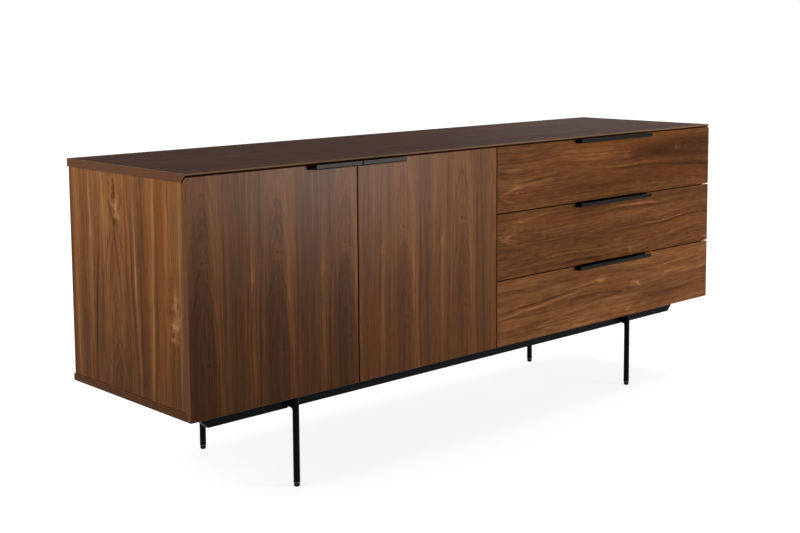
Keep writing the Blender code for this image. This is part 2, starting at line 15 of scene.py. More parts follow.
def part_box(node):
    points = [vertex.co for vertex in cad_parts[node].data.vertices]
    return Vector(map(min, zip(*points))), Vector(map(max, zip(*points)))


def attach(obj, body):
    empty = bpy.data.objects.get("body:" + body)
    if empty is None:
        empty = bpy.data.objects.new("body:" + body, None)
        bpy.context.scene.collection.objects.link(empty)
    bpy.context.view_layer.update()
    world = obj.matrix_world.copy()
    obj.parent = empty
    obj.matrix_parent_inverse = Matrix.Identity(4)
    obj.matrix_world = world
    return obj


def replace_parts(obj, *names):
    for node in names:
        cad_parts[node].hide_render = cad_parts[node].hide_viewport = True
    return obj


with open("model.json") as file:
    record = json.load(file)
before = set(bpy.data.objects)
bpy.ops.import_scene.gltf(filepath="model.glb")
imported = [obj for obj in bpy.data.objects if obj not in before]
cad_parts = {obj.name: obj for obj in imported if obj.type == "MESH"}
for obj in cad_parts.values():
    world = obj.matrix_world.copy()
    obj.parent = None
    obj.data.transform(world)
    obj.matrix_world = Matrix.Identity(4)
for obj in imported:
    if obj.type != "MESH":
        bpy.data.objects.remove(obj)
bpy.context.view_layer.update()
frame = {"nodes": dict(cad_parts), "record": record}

X, Y, Z = 0, 1, 2
UP = Vector((0.0, 0.0, 1.0))
DOOR_NODES = {"left": "left_door_panel", "right": "right_door_panel"}
DRAWER_NAMES = ("upper", "middle", "lower")

# Camera, fitted to the corners, gaps and feet in the photograph
IMAGE_WIDTH = 800
IMAGE_HEIGHT = 533
SENSOR_WIDTH = 36.0
FOCAL_PIXELS = 1306.3
AXIS_ROW = 170.0  # image row that the lens axis meets
CAMERA_PLACE = (-2.326, -2.3745, 1.0013)
CAMERA_AZIMUTH = -42.956
CAMERA_ELEVATION = 6.150
CAMERA_ROLL = -0.404

# Lamps: name, place, the point they face, width and height, watts, and whether glossy surfaces show them.
# The first lays its haze on the upper doors, and the last on the top.
LAMPS = (
    ("front_right_softbox", (1.75, -3.05, 0.76), (0.0, -0.2, 0.5), (1.0, 1.3), 80.0, True),
    ("left_softbox", (-2.5, 0.15, 1.30), (-0.9, 0.0, 0.50), (1.2, 1.2), 28.0, False),
    ("rear_softbox", (1.4, 3.4, 1.9), (0.2, 0.2, 0.4), (2.6, 1.6), 36.0, False),
    ("top_softbox", (2.1, 0.25, 2.7), (0.9, 0.0, 0.6), (2.0, 0.8), 50.0, False),
    ("far_softbox", (4.8, 3.3, 1.25), (0.6, 0.0, 0.72), (1.6, 1.0), 20.0, True),
)

# Surroundings
WHITE = (1.0, 1.0, 1.0, 1.0)
WORLD_LIGHT = 0.32
FLOOR_HALF = 14.0
FLOOR_TONES = ("#9b9b9b", "#a3a3a3")
FLOOR_SPECKLE = (6.0, 3.0)  # cycles per metre, and detail
FLOOR_ROUGHNESS = 0.9
FLOOR_GLOW = 0.80  # how bright the floor looks by itself under the sideboard
SHADOW_REACH = (1.0, 3.2)  # from here to there the glow grows to full white

# Walnut from its darkest to its palest wood
WALNUT_TONES = (
    (0.00, "#281408"), (0.22, "#422512"), (0.42, "#5b371d"), (0.58, "#734828"), (0.78, "#8d5f39"),
    (1.00, "#aa7b4d"),
)
# Tints over it: the layer of noise, its values at which the tint begins and is full, its share, the tint
WALNUT_TINTS = (("cool", 0.45, 0.75, 0.22, "#4b321f"), ("warm", 0.50, 0.80, 0.35, "#80491f"))
CORE_TINT = "#24130d"  # middle of a knot
JOINT_TINT = "#2e1a10"  # butt joint in an edge band

# Layers of noise: cycles per metre along and across the grain, place in the noise, and detail
LAYERS = {
    "wander": (2.0, 3.2, 3.1, 2.0),
    "ripple": (9.0, 24.0, 11.7, 1.0),
    "eye": (60.0, 90.0, 5.3, 2.0),
    "depth": (3.0, 0.6, 23.5, 1.0),
    "late": (4.0, 16.0, 31.0, 1.0),
    "band": (0.8, 34.0, 41.0, 1.0),
    "streak": (4.5, 190.0, 47.0, 3.0),
    "fibre": (22.0, 700.0, 53.0, 2.0),
    "mottle": (24.0, 95.0, 59.0, 2.0),
    "pores": (95.0, 1900.0, 61.0, 1.0),
    "curl": (62.0, 18.0, 71.0, 2.0),
    "shimmer": (5.0, 9.0, 77.0, 1.0),
    "cool": (1.3, 15.0, 83.0, 1.0),
    "warm": (1.1, 11.0, 97.0, 1.0),
}
# Noise from one growth ring to the next: cycles per metre from the log's middle, and detail
RING_WAVES = {"broad": (28.0, 1.0), "medium": (110.0, 2.0), "fine": (420.0, 1.0)}
# How much each noise moves the tone. The first five are scaled by a board's streaks.
STREAK_SHARES = {"broad": 0.75, "medium": 0.38, "fine": 0.20, "band": 0.60, "streak": 1.30}
BODY_SHARES = {"mottle": 0.55, "fibre": 0.60}
RINGS_PER_METRE = 105.0
LATE_RISE = (0.40, 0.92)  # where the dark part of a ring begins and is full, over the ring's width
LATE_DROP = (1.00, 0.93)  # and where it is gone and still full
LATE_PATCHES = (0.40, 0.66)  # values of its own noise where it fades in
SHIMMER_PATCHES = (0.46, 0.72)
PORES = (0.64, 0.74)
RING_WARP = 6.0  # how many rings the broad noise shifts them by
DEPTH_WARP = 0.012
RIPPLE = 0.006
CURL = 1.6
SHIMMER = 0.16  # how much curl shows outside the knots
KNOT_SHIMMER = 0.45  # and inside them
MARK_GRAIN = (0.3, 1.4)  # a mark's strength follows the streaks: at their lowest, and what they add
PORE_SHADE = -0.09
PORE_ROUGHNESS = 0.12
FIBRE_ROUGHNESS = (0.26, 0.14)  # least, and what the fibres add
PORE_HEIGHT, FIBRE_HEIGHT = -0.7, 0.35
ARCH_TIP = 0.003  # softness of an arch's tip
ARCH_RIM = 0.012  # how far in from its line an arch's fill is full
EYE_WARP = 1.1
EYE_FALL = 1.6  # how soon the rings of an eye die out

# What a knot does: half length and half width over its size
KNOT_PUSH = (2.6, 1.0)
KNOT_CORE = (0.42, 0.32)
KNOT_CURL = (1.6, 0.9)
KNOT_GLOW = (1.3, 0.7)
KNOT_GLOW_SHARE = 0.14  # of the strength of its curl

# Edges of boards. A facing is the least share of a normal that lies along an axis.
END_FACING = 0.72
FACE_FACING = 0.6
# The next facing and share pick out the edges that face into gaps, and how strongly painted shade darkens them
GAP_SHADE_FACING = 0.7
FLAT_FACING = 0.93
BAND_SHARE = 0.35  # how much an edge band hides the figure
GAP_SHADE_SHARE = 0.85
JOINT_SHARE = 0.55
ARRIS_SHARE = 0.75
ARRIS_WIDTH = 0.0008  # how far the lighter line reaches from a corner: band colour on the eased corners, partly a painted highlight
JOINT_LINE = 0.0004  # half the width of a butt joint
EDGE_SHIFT = 0.35  # moves the figure of an edge away from that of the face
GRAIN_RELIEF = (0.00012, 0.35)  # depth and strength of the bump

# Veneer leaves on the doors, slip-matched: each leaf repeats the one before it
LEAF_WIDTH = 0.189
LEAF_DRIFT = 0.16  # how much the figure changes from one leaf to the next


def linear(hex_colour):
    """Shader colour from an sRGB hex code."""
    channels = [int(hex_colour[i:i + 2], 16) / 255 for i in (1, 3, 5)]
    return tuple(c / 12.92 if c <= 0.04045 else ((c + 0.055) / 1.055) ** 2.4 for c in channels) + (1.0,)


class Wiring:
    """Short calls that add and join nodes of one tree.

    A value is a number, a tuple, a hex colour or a socket.
    """

    def __init__(self, tree):
        self.tree = tree

    def fill(self, socket, value):
        if isinstance(value, bpy.types.NodeSocket):
            self.tree.links.new(value, socket)
        else:
            socket.default_value = linear(value) if isinstance(value, str) else value

    def fill_all(self, node, values):
        """Fill inputs of a node, by name or number, or in their order."""
        for socket, value in values.items() if isinstance(values, dict) else enumerate(values):
            self.fill(node.inputs[socket], value)

    def add(self, kind, values=(), **settings):
        node = self.tree.nodes.new("ShaderNode" + kind)
        for key, value in settings.items():
            setattr(node, key, value)
        self.fill_all(node, values)
        return node

    def math(self, operation, *values):
        return self.add("Math", values, operation=operation).outputs[0]

    def plus(self, *values):
        """Sum, 0 if there is no value."""
        return functools.reduce(functools.partial(self.math, "ADD"), values) if values else 0.0

    def times(self, *values):
        return functools.reduce(functools.partial(self.math, "MULTIPLY"), values)

    def minus(self, first, second):
        return self.math("SUBTRACT", first, second)

    def over(self, first, second):
        return self.math("DIVIDE", first, second)

    def above(self, value, limit):
        return self.math("GREATER_THAN", value, limit)

    def below(self, value, limit):
        return self.math("LESS_THAN", value, limit)

    def line(self, value, slope, start):
        return self.math("MULTIPLY_ADD", value, slope, start)

    def squares(self, first, second):
        """Sum of two squares."""
        return self.line(first, first, self.times(second, second))

    def decay(self, value, rate=1.0):
        """1 where the value is 0, and less as it grows."""
        return self.math("EXPONENT", self.times(value, -rate))

    def centred(self, noise, size):
        """Noise moved to swing round 0."""
        return self.times(self.minus(noise, 0.5), size)

    def vector(self, operation, *values):
        node = self.add("VectorMath", values, operation=operation)
        return node.outputs["Value" if operation == "LENGTH" else "Vector"]

    def split(self, vector):
        return self.add("SeparateXYZ", [vector]).outputs

    def combine(self, *values):
        return self.add("CombineXYZ", values).outputs[0]

    def blend(self, factor, first, second):
        """Mix of two colours."""
        return self.add("Mix", {0: factor, 6: first, 7: second}, data_type="RGBA").outputs[2]

    def choose(self, factor, first, second):
        """Mix of two numbers."""
        return self.add("Mix", {0: factor, 2: first, 3: second}, data_type="FLOAT").outputs[0]

    def noise(self, vector, detail):
        return self.add("TexNoise", {"Vector": vector, "Scale": 1.0, "Detail": detail}).outputs["Fac"]

    def even_noise(self, place, scale, detail):
        return self.noise(self.vector("MULTIPLY", place, (scale, scale, scale)), detail)

    def line_noise(self, value, detail):
        """Noise along one number."""
        values = {"W": value, "Scale": 1.0, "Detail": detail}
        return self.add("TexNoise", values, noise_dimensions="1D").outputs["Fac"]

    def ease(self, value, low, high, start=0.0, end=1.0):
        """Smooth step from start to end as the value passes from low to high."""
        values = (value, low, high, start, end)
        return self.add("MapRange", values, interpolation_type="SMOOTHSTEP").outputs[0]

    def ramp(self, value, stops):
        node = self.add("ValToRGB", [value])
        elements = node.color_ramp.elements
        while len(elements) < len(stops):
            elements.new(0.5)
        for element, (place, colour) in zip(elements, stops):
            element.position = place
            element.color = linear(colour)
        return node.outputs[0]

    def bump(self, height, depth, strength):
        return self.add("Bump", {"Height": height, "Distance": depth, "Strength": strength}).outputs[0]


def add_object(name, data):
    item = bpy.data.objects.new(name, data)
    bpy.context.scene.collection.objects.link(item)
    return item


def add_mesh(name, bm, mat):
    mesh = bpy.data.meshes.new(name)
    bm.to_mesh(mesh)
    bm.free()
    mesh.materials.append(mat)
    return add_object(name, mesh)


def new_material(name):
    mat = bpy.data.materials.new(name)
    mat.use_nodes = True
    return mat, Wiring(mat.node_tree), mat.node_tree.nodes["Principled BSDF"]


def new_group(name, inputs, outputs):
    group = bpy.data.node_groups.new(name, "ShaderNodeTree")
    for key in inputs:
        group.interface.new_socket(key, in_out="INPUT", socket_type="NodeSocketFloat")
    for key in outputs:
        kind = "NodeSocketColor" if key == "Colour" else "NodeSocketFloat"
        group.interface.new_socket(key, in_out="OUTPUT", socket_type=kind)
    given = group.nodes.new("NodeGroupInput").outputs
    return group, Wiring(group), given, group.nodes.new("NodeGroupOutput").inputs


def use_group(w, group, values):
    return w.add("Group", values, node_tree=group).outputs


PLACED = ("Along", "Sideways", "At along", "At across")


def field(w, given, layer, sideways="Sideways"):
    """One layer of noise, stretched along the grain."""
    along, across, place, detail = LAYERS[layer]
    return w.noise(w.combine(
        w.times(given["Along"], along), w.times(given[sideways], across), w.plus(given["Slice"], place),
    ), detail)


def grain_flow():
    """Node group: the place across the grain, bent as the fibres wander along the board."""
    group, w, given, out = new_group("grain_flow", ("Along", "Across", "Slice", "Wander"), ("Sideways",))
    drift = w.centred(field(w, given, "wander", "Across"), given["Wander"])
    ripple = w.centred(field(w, given, "ripple", "Across"), RIPPLE)
    w.fill(out["Sideways"], w.plus(given["Across"], drift, ripple))
    return group


def grain_mark():
    """Node group: one soft streak or spot, 1 at its middle, Length by Width, leaning by Tilt."""
    names = (*PLACED, "Length", "Width", "Tilt", "Strength")
    group, w, given, out = new_group("grain_mark", names, ("Value",))
    ahead = w.minus(given["Along"], given["At along"])
    aside = w.minus(given["Sideways"], w.line(ahead, given["Tilt"], given["At across"]))
    square = w.squares(w.over(ahead, given["Length"]), w.over(aside, given["Width"]))
    w.fill(out["Value"], w.times(w.decay(square), given["Strength"]))
    return group


def grain_arch():
    """Node group: one growth ring that a flat slice cuts as a pointed arch, with its flanks along the board.

    Way is 1 where the arch opens towards smaller Along. Half is how far the flanks stand off its middle,
    Reach how soon they get there, Fill how much the wood inside it differs.
    """
    names = (*PLACED, "Way", "Half", "Reach", "Line", "Fade", "Strength", "Fill")
    group, w, given, out = new_group("grain_arch", names, ("Value",))
    ahead = w.times(w.minus(given["At along"], given["Along"]), given["Way"])
    inside = w.math("MAXIMUM", ahead, 0.0)
    opening = w.minus(1.0, w.decay(w.over(inside, given["Reach"])))
    aside = w.math("ABSOLUTE", w.minus(given["Sideways"], given["At across"]))
    within = w.minus(w.times(opening, given["Half"]), aside)
    off = w.over(within, given["Line"])
    line = w.times(w.decay(w.times(off, off)), given["Strength"])
    fill = w.times(w.ease(within, 0.0, ARCH_RIM), given["Fill"])
    gone = w.over(inside, given["Fade"])
    fade = w.decay(w.times(gone, gone))
    begin = w.ease(ahead, -ARCH_TIP, ARCH_TIP)
    w.fill(out["Value"], w.times(w.plus(line, fill), fade, begin))
    return group


def grain_eye():
    """Node group: rings that close round a knot, Length by Width, strongest at its middle."""
    names = (*PLACED, "Length", "Width", "Rings", "Strength", "Slice")
    group, w, given, out = new_group("grain_eye", names, ("Value",))
    u = w.over(w.minus(given["Along"], given["At along"]), given["Length"])
    v = w.over(w.minus(given["Sideways"], given["At across"]), given["Width"])
    wave = w.centred(field(w, given, "eye"), EYE_WARP)
    radius = w.plus(w.math("SQRT", w.squares(u, v)), wave)
    near = w.decay(w.times(radius, radius), EYE_FALL)
    ring = w.math("COSINE", w.times(radius, given["Rings"]))
    w.fill(out["Value"], w.times(ring, near, given["Strength"]))
    return group


def walnut_figure():
    """Node group for sliced walnut: growth rings round a log, streaks, fibres and open pores.

    Depth is how far the slice passes from the middle of the log. Where it grows along the board, the
    rings draw pointed arches.
    """
    names = (
        "Along", "Sideways", "Slice", "Depth", "Bulge", "Marks", "Core", "Curl", "Contrast", "Streaks",
        "Rings", "Tone",
    )
    group, w, given, out = new_group("walnut_figure", names, ("Colour", "Roughness", "Height"))
    depth = w.plus(given["Depth"], w.centred(field(w, given, "depth"), DEPTH_WARP))
    radius = w.plus(w.math("SQRT", w.squares(given["Sideways"], depth)), given["Bulge"])
    noises = {name: field(w, given, name) for name in ("band", "streak", "mottle", "fibre")}
    for name, (scale, detail) in RING_WAVES.items():
        noises[name] = w.line_noise(w.line(radius, scale, given["Slice"]), detail)

    rings = w.math("FRACT", w.line(radius, RINGS_PER_METRE, w.times(noises["broad"], RING_WARP)))
    late_wood = w.times(
        w.ease(rings, *LATE_RISE), w.ease(rings, *LATE_DROP), w.ease(field(w, given, "late"), *LATE_PATCHES),
    )
    pores = w.ease(field(w, given, "pores"), *PORES)
    curl = w.centred(field(w, given, "curl"), CURL)
    shimmer = w.times(curl, w.ease(field(w, given, "shimmer"), *SHIMMER_PATCHES, 0.0, SHIMMER))

    tone = w.plus(*(w.centred(noises[name], share) for name, share in STREAK_SHARES.items()))
    tone = w.times(tone, given["Streaks"])
    tone = w.plus(tone, *(w.centred(noises[name], share) for name, share in BODY_SHARES.items()), shimmer)
    tone = w.line(tone, given["Contrast"], given["Tone"])
    tone = w.minus(tone, w.times(late_wood, given["Rings"]))
    least, swing = MARK_GRAIN
    tone = w.plus(tone, w.times(given["Marks"], w.line(noises["streak"], swing, least)))
    tone = w.line(curl, w.times(given["Curl"], KNOT_SHIMMER), tone)
    tone = w.line(pores, PORE_SHADE, tone)
    colour = w.ramp(tone, WALNUT_TONES)
    for name, low, high, share, tint in WALNUT_TINTS:
        colour = w.blend(w.ease(field(w, given, name), low, high, 0.0, share), colour, tint)
    w.fill(out["Colour"], w.blend(given["Core"], colour, CORE_TINT))
    least, swing = FIBRE_ROUGHNESS
    w.fill(out["Roughness"], w.line(pores, PORE_ROUGHNESS, w.line(noises["fibre"], swing, least)))
    w.fill(out["Height"], w.line(pores, PORE_HEIGHT, w.times(noises["fibre"], FIBRE_HEIGHT)))
    return group


FLOW = grain_flow()
MARK = grain_mark()
ARCH = grain_arch()
EYE = grain_eye()
FIGURE = walnut_figure()


def assign(node, mat):
    mesh = frame["nodes"][node].data
    mesh.materials.clear()
    mesh.materials.append(mat)


def corner_highlight_mask(w, place, normal, node):
    """1 on the narrow slanted faces along the corners of a board, which take a painted highlight."""
    low, high = (tuple(corner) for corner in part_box(node))
    inset = w.vector("MINIMUM", w.vector("SUBTRACT", place, low), w.vector("SUBTRACT", high, place))
    near_planes = w.plus(*(w.below(value, ARRIS_WIDTH) for value in w.split(inset)))
    flat = w.combine(*(w.above(value, FLAT_FACING) for value in normal))
    slanted = w.below(w.vector("LENGTH", flat), 0.5)  # square to no axis
    return w.times(slanted, w.above(near_planes, 1.5))  # near two sides of the box


def veneer(
    name, node, grain, face, seed, contrast, tone, middle=0.0, wander=0.02, heart=None, painted_shade_slope=0.0, rings=0.08,
    streaks=1.0, marks=(), knots=(), arches=(), eyes=(), leaf=None, wash=None, edge="#80512f",
    edge_share=BAND_SHARE, end="#7a5238", gap_shade_edge=None, joints=(), specular=0.02, gloss_loss=0.0,
):
    """Give one board its material. grain and face are axes: along the fibres, and square to the board.

    contrast, tone, rings and streaks weigh the figure, and fall is how much the tone changes per metre up:
    painted shade, darker towards the bottom of the board.
    middle is where the middle of the log lies across the board, heart is the place along the board
    where the slice meets it, and how fast the slice leaves it. marks, knots, arches and eyes are rows of
    the tables below. leaf is the middle of the first leaf and how much lower its leaves were cut.

    wash is a colour and its share laid over the figure; on the top it is a dark painted shade. edge and end
    are the colours of the bands along and across the grain. gap_shade_edge is an axis, a place and a colour
    for the edges across that axis beyond that place: painted shade on the edges that face into the gaps
    between fronts. joints are the places where an edge band is pieced.
    """
    mat, w, shader = new_material(name)
    place = w.add("TexCoord").outputs
    point = w.split(place["Object"])
    normal = w.split(w.vector("ABSOLUTE", place["Normal"]))
    side = X + Y + Z - grain - face
    on_end = w.above(normal[grain], END_FACING)
    on_face = w.above(normal[face], FACE_FACING)
    along = w.choose(on_end, point[grain], point[side])
    if leaf:
        first, shift = leaf
        count = w.over(w.minus(point[side], first - LEAF_WIDTH / 2), LEAF_WIDTH)
        whole = w.math("FLOOR", count)
        across = w.centred(w.minus(count, whole), LEAF_WIDTH)
        cut = w.line(whole, LEAF_DRIFT, seed)
        along = w.minus(along, shift)
    else:
        across, cut = w.minus(point[side], middle), seed
    across = w.choose(on_face, w.plus(point[face], EDGE_SHIFT), across)
    sideways = use_group(w, FLOW, (along, across, cut, wander))["Sideways"]

    def spot(group, at_along, at_across, *shape):
        return use_group(w, group, (along, sideways, at_along, at_across - middle, *shape))["Value"]

    spots = [spot(MARK, *mark) for mark in marks]
    spots += [spot(ARCH, *arch) for arch in arches]
    spots += [spot(EYE, *eye, cut) for eye in eyes]
    bulges, cores, curls = [], [], []
    for at_along, at_across, size, push, core, curl in knots:
        for values, (length, width), strength in (
            (bulges, KNOT_PUSH, push), (cores, KNOT_CORE, core), (curls, KNOT_CURL, curl),
            (spots, KNOT_GLOW, curl * KNOT_GLOW_SHARE),
        ):
            if strength:
                values.append(spot(MARK, at_along, at_across, size * length, size * width, 0.0, strength))
    depth = 0.0
    if heart:
        start, slope = heart
        depth = w.math("MAXIMUM", w.times(w.minus(along, start), slope), 0.0)
    # The tone rises with height: painted shade, darker towards the bottom of the board
    figure = use_group(w, FIGURE, {
        "Along": along, "Sideways": sideways, "Slice": cut, "Depth": depth, "Bulge": w.plus(*bulges),
        "Marks": w.times(w.plus(*spots), on_face), "Core": w.plus(*cores), "Curl": w.plus(*curls),
        "Contrast": contrast, "Streaks": streaks, "Rings": rings, "Tone": w.line(point[Z], painted_shade_slope, tone),
    })
    colour = figure["Colour"]
    if wash:
        colour = w.blend(wash[1], colour, wash[0])

    on_edge = w.minus(1.0, on_face)
    rim = w.times(on_edge, w.choose(on_end, edge_share, BAND_SHARE))
    colour = w.blend(rim, colour, w.blend(on_end, edge, end))
    # Painted shade: edges that face into the gaps between fronts are darkened towards the tint
    if gap_shade_edge:
        axis, start, tint = gap_shade_edge
        gap_shade = w.times(w.above(point[axis], start), on_edge, w.above(normal[axis], GAP_SHADE_FACING))
        colour = w.blend(w.times(gap_shade, GAP_SHADE_SHARE), colour, tint)
    if joints:
        gaps = w.plus(*(w.math("COMPARE", point[grain], joint, JOINT_LINE) for joint in joints))
        colour = w.blend(w.times(gaps, on_edge, JOINT_SHARE), colour, JOINT_TINT)
    # The eased corners take the lighter band colour: partly the band's own colour, partly a painted highlight line
    corner_highlight = w.times(corner_highlight_mask(w, place["Object"], normal, node), ARRIS_SHARE)
    w.fill_all(shader, {
        "Base Color": w.blend(corner_highlight, colour, edge), "Roughness": w.plus(figure["Roughness"], gloss_loss),
        "Specular IOR Level": specular, "Normal": w.bump(figure["Height"], *GRAIN_RELIEF),
    })
    assign(node, mat)


DOOR_EDGE_JOINTS = (0.670, 0.5705, 0.410)  # where the doors' edge bands are pieced
# The same veneer on both doors: the left door's lower tone is painted shade, and the tone of both drops towards
# the bottom as painted shade
DOOR_LOOKS = {
    "left": dict(seed=33.0, tone=0.178, painted_shade_slope=0.50, wash=("#7c4812", 0.06), leaf=(-0.8644, 0.0)),
    "right": dict(seed=33.3, tone=0.295, painted_shade_slope=0.42, wash=("#7c4812", 0.12), leaf=(-0.5010, 0.0145)),
}

# Figure of the boards. All places are (along, across) in metres, as the board stands.
# A mark is a streak: place, half length, half width, tilt, tone.
# A knot: place, size, how far it pushes the rings, how dark its middle is, curl round it.
# An arch: place of its tip, way, half width, reach, width of its line, fade, tone, fill.
# An eye: place, half length, half width, density of its rings, tone.
SIDE_MARKS = (
    (0.47, 0.22, 0.3, 0.005, 0.0, 0.26), (0.47, 0.236, 0.3, 0.0045, 0.0, -0.24),
    (0.47, 0.19, 0.3, 0.011, 0.02, -0.16), (0.52, 0.156, 0.22, 0.008, -0.03, 0.18),
    (0.43, 0.132, 0.17, 0.004, -0.09, -0.26), (0.6, 0.097, 0.09, 0.009, 0.04, 0.18),
    (0.45, -0.015, 0.2, 0.004, 0.05, -0.22), (0.5, -0.026, 0.22, 0.005, 0.04, 0.24),
    (0.45, -0.055, 0.3, 0.013, 0.0, -0.14), (0.46, -0.092, 0.3, 0.0045, -0.038, 0.3),
    (0.44, -0.104, 0.22, 0.0055, -0.035, -0.26), (0.57, -0.142, 0.16, 0.007, 0.0, 0.18),
    (0.46, -0.191, 0.3, 0.005, 0.0, 0.24), (0.455, -0.171, 0.04, 0.0055, -0.08, 0.18),
    (0.622, 0.066, 0.028, 0.0026, 0.43, -0.26), (0.622, 0.036, 0.028, 0.0026, -0.56, -0.26),
    (0.668, 0.052, 0.026, 0.01, 0.0, -0.22), (0.622, 0.042, 0.014, 0.005, 0.45, 0.16),
    (0.58, 0.0545, 0.03, 0.0022, 0.06, -0.2), (0.39, -0.168, 0.028, 0.006, -0.5, 0.2),
    (0.42, -0.147, 0.032, 0.006, 0.0, -0.16),
)
SIDE_KNOTS = (
    (0.655, 0.0535, 0.015, 0.026, 0.0, 0.5), (0.69, 0.0545, 0.009, 0.006, 0.6, 0.0),
    (0.668, 0.056, 0.01, 0.006, 0.5, 0.0), (0.624, 0.041, 0.012, 0.006, 0.0, 1.7),
    (0.405, -0.165, 0.026, 0.022, 0.0, 1.8), (0.452, -0.172, 0.012, 0.004, 0.0, 1.2),
)
SIDE_ARCHES = (
    (0.602, 0.054, 1, 0.07, 0.11, 0.003, 0.34, -0.12, 0.0),
    (0.58, 0.056, 1, 0.034, 0.11, 0.0024, 0.3, -0.1, 0.0),
    (0.345, 0.046, 1, 0.04, 0.05, 0.0022, 0.2, -0.15, 0.0),
    (0.3, 0.047, 1, 0.022, 0.03, 0.002, 0.14, -0.16, -0.04),
    (0.296, 0.086, 1, 0.016, 0.026, 0.0018, 0.1, -0.15, 0.0),
)
SIDE_EYES = (
    (0.66, 0.052, 0.06, 0.027, 6.5, -0.16),
    (0.408, -0.166, 0.05, 0.024, 8.0, 0.12),
)
LEAF_MARKS = (
    (0.42, -0.063, 0.26, 0.0085, 0.0, 0.14), (0.495, -0.067, 0.02, 0.0065, 0.15, 0.1),
    (0.45, 0.031, 0.3, 0.006, -0.05, 0.13), (0.5, 0.052, 0.3, 0.0028, 0.0, -0.16),
    (0.46, 0.074, 0.3, 0.011, 0.0, -0.07), (0.36, -0.044, 0.14, 0.0035, 0.02, -0.14),
    (0.62, -0.047, 0.1, 0.004, 0.04, -0.12),
)
LEAF_ARCHES = (
    (0.652, 0.001, 1, 0.034, 0.05, 0.0022, 0.16, -0.06, 0.0),
    (0.606, 0.002, 1, 0.027, 0.032, 0.0018, 0.1, -0.08, 0.0),
    (0.572, 0.001, 1, 0.019, 0.02, 0.0016, 0.05, -0.08, 0.02),
    (0.505, 0.0015, 1, 0.036, 0.05, 0.0022, 0.4, -0.13, -0.05),
    (0.458, 0.002, 1, 0.026, 0.04, 0.0018, 0.26, -0.09, -0.03),
    (0.395, 0.001, 1, 0.017, 0.03, 0.0018, 0.15, -0.08, -0.02),
)
LEAF_KNOTS = (
    (0.54, -0.0015, 0.009, 0.007, 1.0, 0.4), (0.5385, 0.0085, 0.0065, 0.002, 0.9, 0.0),
    (0.543, 0.0155, 0.0035, 0.001, 0.4, 0.0), (0.4915, -0.066, 0.011, 0.007, 0.0, 0.45),
    (0.3285, 0.012, 0.01, 0.006, 1.0, 0.5),
)
